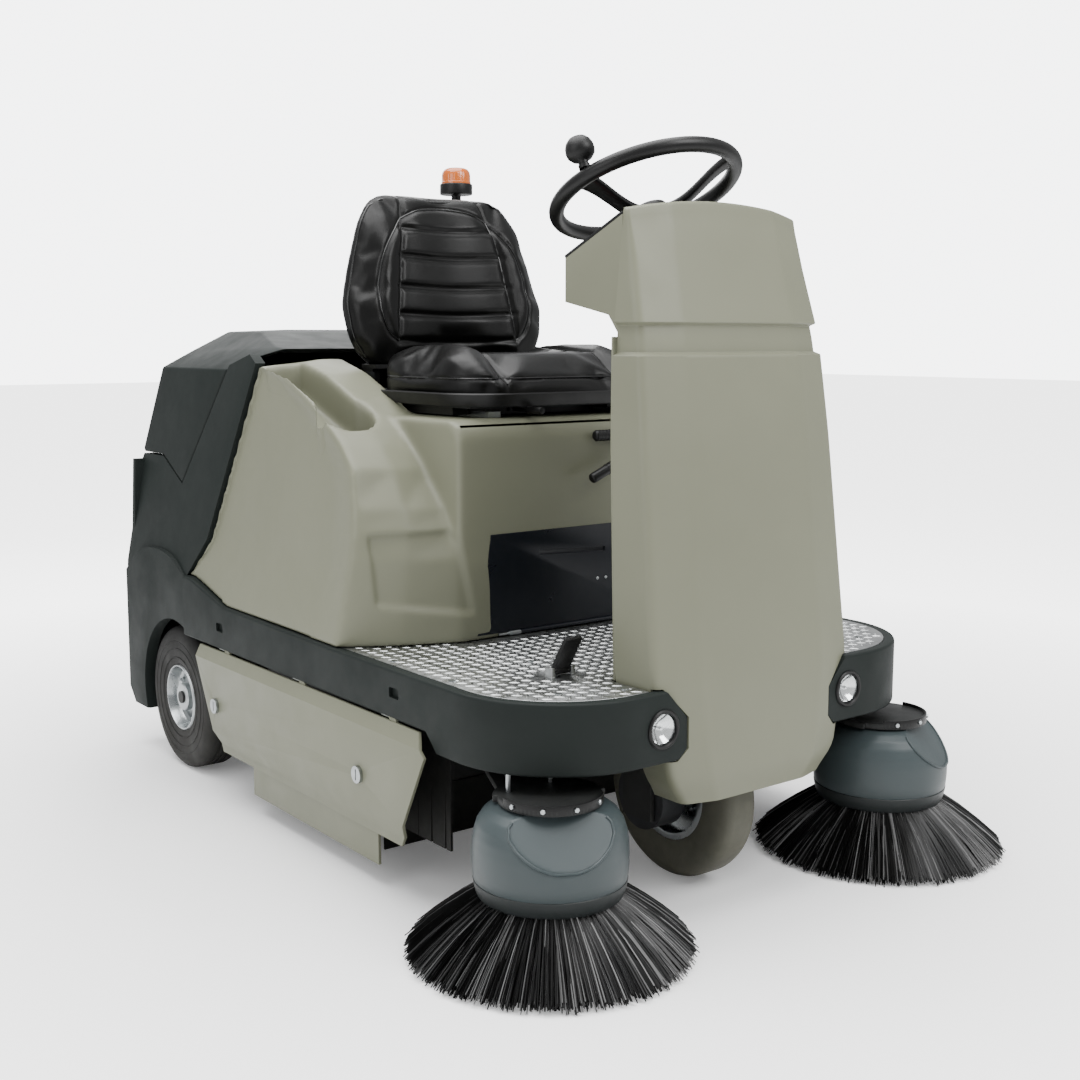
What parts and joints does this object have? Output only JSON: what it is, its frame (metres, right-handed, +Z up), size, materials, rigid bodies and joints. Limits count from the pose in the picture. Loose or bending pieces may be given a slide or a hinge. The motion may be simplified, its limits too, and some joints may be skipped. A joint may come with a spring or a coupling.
{
  "type": "ride-on floor sweeper",
  "caption": "Ride-on floor sweeper with a steering column, disc brushes on lifting arms, a main broom, a sliding rear hopper, a padded seat and an amber beacon.",
  "frame": {"origin": "on the floor, at the middle of the machine's length and width, brushes included", "axes": "+Z up; -Y is forward, so +Y points to the tail; +X is the driver's left"},
  "size_m": [1.39, 1.96, 1.483],
  "materials": {
    "body_plastic": "rotational-moulded plastic, satin with a fine grain",
    "dark_plastic": "rotational-moulded plastic, charcoal, satin",
    "slate_plastic": "moulded plastic, slate grey, satin",
    "black_plastic": "moulded plastic, black, satin",
    "frame_paint": "powder-coated steel, dark grey",
    "tread_aluminium": "bare rolled tread plate",
    "zinc_steel": "zinc-plated steel",
    "grey_tyre": "solid rubber, worn dusty olive grey",
    "black_tyre": "solid rubber, dusty black",
    "black_rubber": "sheet rubber, matt",
    "bristle": "tufts of black nylon filament",
    "brush_core": "moulded plastic block, matt",
    "vinyl": "black vinyl with a fine leather grain, satin",
    "lens": "clear moulded lens",
    "amber": "translucent amber plastic, glossy",
    "red_plastic": "moulded plastic, red, glossy",
    "motor_casting": "painted housing, satin",
    "battery_case": "moulded battery case, matt"
  },
  "bodies": {
    "machine": {"chassis_frame": "frame_paint", "platform_plate": "tread_aluminium", "front_bumper": "dark_plastic", "headlight_housings": "black_plastic", "headlight_lenses": "lens", "column_front_cover": "body_plastic", "column_rear_cover": "body_plastic", "dash_panel": "black_plastic", "body_cover": "body_plastic", "battery_pack": "battery_case", "rear_shell_right": "dark_plastic", "rear_shell_left": "dark_plastic", "broom_housing": "frame_paint", "rubber_flaps": "black_rubber", "suction_fan": "motor_casting", "seat_rails": "zinc_steel", "fasteners": "zinc_steel"},
    "steering_shaft": {"steering_shaft_lower": "zinc_steel"},
    "steering_wheel": {"steering_wheel": "black_plastic"},
    "steering_knob": {"steering_knob": "black_plastic"},
    "fork": {"front_fork": "frame_paint", "drive_motor": "motor_casting"},
    "front_wheel": {"front_rim": "zinc_steel", "front_tyre": "grey_tyre"},
    "broom_arms": {"broom_lift_arms": "frame_paint"},
    "broom": {"broom_core": "brush_core", "broom_bristles": "bristle"},
    "hood": {"rear_hood": "dark_plastic", "beacon_post": "black_plastic", "beacon_dome": "amber"},
    "hopper": {"hopper": "frame_paint"},
    "seat": {"seat_pan": "frame_paint", "seat_cushion": "vinyl"},
    "backrest": {"seat_back": "vinyl"},
    "slide_lever": {"seat_slide_lever": "black_plastic"},
    "accelerator": {"accelerator_pedal": "black_plastic"},
    "brake": {"brake_pedal": "black_plastic"},
    "brush_lever": {"lever_brushes": "black_plastic"},
    "flap_lever": {"lever_flap": "black_plastic"},
    "door": {"front_door": "black_plastic"},
    "key": {"ignition_key": "zinc_steel"},
    "stop_button": {"emergency_stop": "red_plastic"},
    "rear_wheel_right": {"rear_rim_right": "zinc_steel", "rear_tyre_right": "black_tyre"},
    "brush_arm_right": {"brush_arm_right": "frame_paint", "brush_hood_right": "slate_plastic"},
    "brush_right": {"brush_disc_right": "brush_core", "brush_bristles_right": "bristle"},
    "skirt_right": {"side_skirt_right": "body_plastic"},
    "latch_front_right": {"skirt_latch_front_right": "zinc_steel"},
    "latch_rear_right": {"skirt_latch_rear_right": "zinc_steel"},
    "rear_wheel_left": {"rear_rim_left": "zinc_steel", "rear_tyre_left": "black_tyre"},
    "brush_arm_left": {"brush_arm_left": "frame_paint", "brush_hood_left": "slate_plastic"},
    "brush_left": {"brush_disc_left": "brush_core", "brush_bristles_left": "bristle"},
    "skirt_left": {"side_skirt_left": "body_plastic"},
    "latch_front_left": {"skirt_latch_front_left": "zinc_steel"},
    "latch_rear_left": {"skirt_latch_rear_left": "zinc_steel"}
  },
  "joints": [
    {"name": "fork_steer", "type": "hinge", "parent": "machine", "child": "fork", "pos_m": [0, -0.583, 0.4], "axis": [0, 0, 1], "range_deg": [-60, 60]},
    {"name": "shaft_turn", "type": "hinge", "parent": "machine", "child": "steering_shaft", "pos_m": [0, -0.583, 0.8], "axis": [0, 0, 1], "range_deg": [-180, 180]},
    {"name": "steering_turn", "type": "hinge", "parent": "machine", "child": "steering_wheel", "pos_m": [0, -0.458, 1.341], "axis": [0, 0.3987, 0.9171], "range_deg": [-180, 180]},
    {"name": "knob_spin", "type": "hinge", "parent": "steering_wheel", "child": "steering_knob", "pos_m": [-0.17509, -0.49213, 1.35584], "axis": [0, 0.3987, 0.9171], "continuous": true},
    {"name": "front_wheel_spin", "type": "hinge", "parent": "fork", "child": "front_wheel", "pos_m": [0, -0.583, 0.175], "axis": [1, 0, 0], "continuous": true},
    {"name": "broom_lift", "type": "hinge", "parent": "machine", "child": "broom_arms", "pos_m": [0, 0.29, 0.3], "axis": [-1, 0, 0], "range_deg": [0, 8]},
    {"name": "broom_spin", "type": "hinge", "parent": "broom_arms", "child": "broom", "pos_m": [0, 0.07, 0.152], "axis": [1, 0, 0], "continuous": true},
    {"name": "hood_open", "type": "hinge", "parent": "machine", "child": "hood", "pos_m": [0, 0.948, 0.762], "axis": [-1, 0, 0], "range_deg": [0, 70]},
    {"name": "hopper_slide", "type": "slide", "parent": "machine", "child": "hopper", "axis": [0, 1, 0], "range_m": [0, 0.32]},
    {"name": "seat_slide", "type": "slide", "parent": "machine", "child": "seat", "axis": [0, -1, 0], "range_m": [0, 0.12]},
    {"name": "backrest_recline", "type": "hinge", "parent": "seat", "child": "backrest", "pos_m": [0, 0.235, 0.96], "axis": [-1, 0, 0], "range_deg": [-5, 12]},
    {"name": "seat_lever_turn", "type": "hinge", "parent": "seat", "child": "slide_lever", "pos_m": [-0.1, -0.15, 0.91], "axis": [0, 0, 1], "range_deg": [-15, 15], "stiffness_Nm_per_rad": 0.4},
    {"name": "accelerator_press", "type": "hinge", "parent": "machine", "child": "accelerator", "pos_m": [-0.305, -0.58, 0.455], "axis": [1, 0, 0], "range_deg": [0, 14], "stiffness_Nm_per_rad": 1.5, "springref_deg": -6.88},
    {"name": "brake_press", "type": "hinge", "parent": "machine", "child": "brake", "pos_m": [0.305, -0.58, 0.455], "axis": [1, 0, 0], "range_deg": [0, 14], "stiffness_Nm_per_rad": 1.5, "springref_deg": -6.88},
    {"name": "brush_lever_turn", "type": "hinge", "parent": "machine", "child": "brush_lever", "pos_m": [0.17, -0.258, 0.853], "axis": [0, 1, 0], "range_deg": [-20, 20]},
    {"name": "flap_lever_turn", "type": "hinge", "parent": "machine", "child": "flap_lever", "pos_m": [0.17, -0.282, 0.831], "axis": [0, 1, 0], "range_deg": [-20, 20]},
    {"name": "door_open", "type": "hinge", "parent": "machine", "child": "door", "pos_m": [0, -0.247, 0.4515], "axis": [1, 0, 0], "range_deg": [0, 85]},
    {"name": "key_turn", "type": "hinge", "parent": "machine", "child": "key", "pos_m": [0.13, -0.52459, 1.22547], "axis": [0, 0.3987, 0.9171], "range_deg": [0, 90]},
    {"name": "stop_press", "type": "slide", "parent": "machine", "child": "stop_button", "axis": [0, -0.3987, -0.9171], "range_m": [0, 0.005], "stiffness_N_per_m": 600, "springref_m": -0.001},
    {"name": "rear_wheel_spin_right", "type": "hinge", "parent": "machine", "child": "rear_wheel_right", "pos_m": [-0.463, 0.68, 0.177], "axis": [1, 0, 0], "continuous": true},
    {"name": "brush_lift_right", "type": "hinge", "parent": "machine", "child": "brush_arm_right", "pos_m": [-0.355, -0.395, 0.277], "axis": [-1, 0, 0], "range_deg": [0, 3.5]},
    {"name": "brush_spin_right", "type": "hinge", "parent": "brush_arm_right", "child": "brush_right", "pos_m": [-0.437, -0.722, 0.13], "axis": [0, 0, 1], "continuous": true},
    {"name": "skirt_open_right", "type": "hinge", "parent": "machine", "child": "skirt_right", "pos_m": [-0.524, 0, 0.353], "axis": [0, 1, 0], "range_deg": [0, 70]},
    {"name": "latch_turn_front_right", "type": "hinge", "parent": "skirt_right", "child": "latch_front_right", "pos_m": [-0.551, -0.258, 0.222], "axis": [1, 0, 0], "range_deg": [0, 90]},
    {"name": "latch_turn_rear_right", "type": "hinge", "parent": "skirt_right", "child": "latch_rear_right", "pos_m": [-0.551, 0.39, 0.222], "axis": [1, 0, 0], "range_deg": [0, 90]},
    {"name": "rear_wheel_spin_left", "type": "hinge", "parent": "machine", "child": "rear_wheel_left", "pos_m": [0.463, 0.68, 0.177], "axis": [1, 0, 0], "continuous": true},
    {"name": "brush_lift_left", "type": "hinge", "parent": "machine", "child": "brush_arm_left", "pos_m": [0.355, -0.395, 0.277], "axis": [-1, 0, 0], "range_deg": [0, 3.5]},
    {"name": "brush_spin_left", "type": "hinge", "parent": "brush_arm_left", "child": "brush_left", "pos_m": [0.437, -0.722, 0.13], "axis": [0, 0, 1], "continuous": true},
    {"name": "skirt_open_left", "type": "hinge", "parent": "machine", "child": "skirt_left", "pos_m": [0.524, 0, 0.353], "axis": [0, -1, 0], "range_deg": [0, 70]},
    {"name": "latch_turn_front_left", "type": "hinge", "parent": "skirt_left", "child": "latch_front_left", "pos_m": [0.551, -0.258, 0.222], "axis": [1, 0, 0], "range_deg": [0, 90]},
    {"name": "latch_turn_rear_left", "type": "hinge", "parent": "skirt_left", "child": "latch_rear_left", "pos_m": [0.551, 0.39, 0.222], "axis": [1, 0, 0], "range_deg": [0, 90]}
  ],
  "couplings": [
    {"joint": "shaft_turn", "follows": "fork_steer", "ratio": 3},
    {"joint": "steering_turn", "follows": "fork_steer", "ratio": 3}
  ]
}
